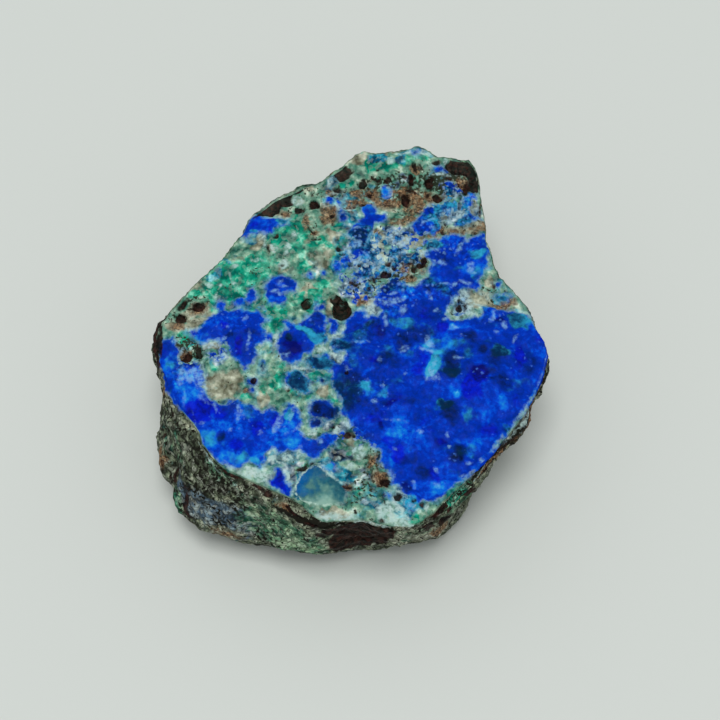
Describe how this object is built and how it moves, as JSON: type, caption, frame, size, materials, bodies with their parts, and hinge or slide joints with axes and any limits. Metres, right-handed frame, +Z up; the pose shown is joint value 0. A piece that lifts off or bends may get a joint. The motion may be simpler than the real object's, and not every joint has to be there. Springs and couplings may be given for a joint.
{
  "type": "mineral specimen",
  "caption": "Hand-sized piece of linarite ore: a flat face crusted deep blue and green over broken grey-green rock, to display or lay on a shelf.",
  "frame": {"origin": "middle of the stone's footprint box, on the surface it rests on", "axes": "+Z up, out of the crusted upper face; +Y along the stone's longer side, away from the dark pocket; -Y is the front, with the pocket"},
  "size_m": [0.0494, 0.0529, 0.02],
  "materials": {
    "mineral_crust": "natural broken stone: deep blue and green mineral crust on grey-green granular rock, softly glossy where it is crystalline"
  },
  "bodies": {
    "root": {"specimen": "mineral_crust"}
  },
  "joints": []
}
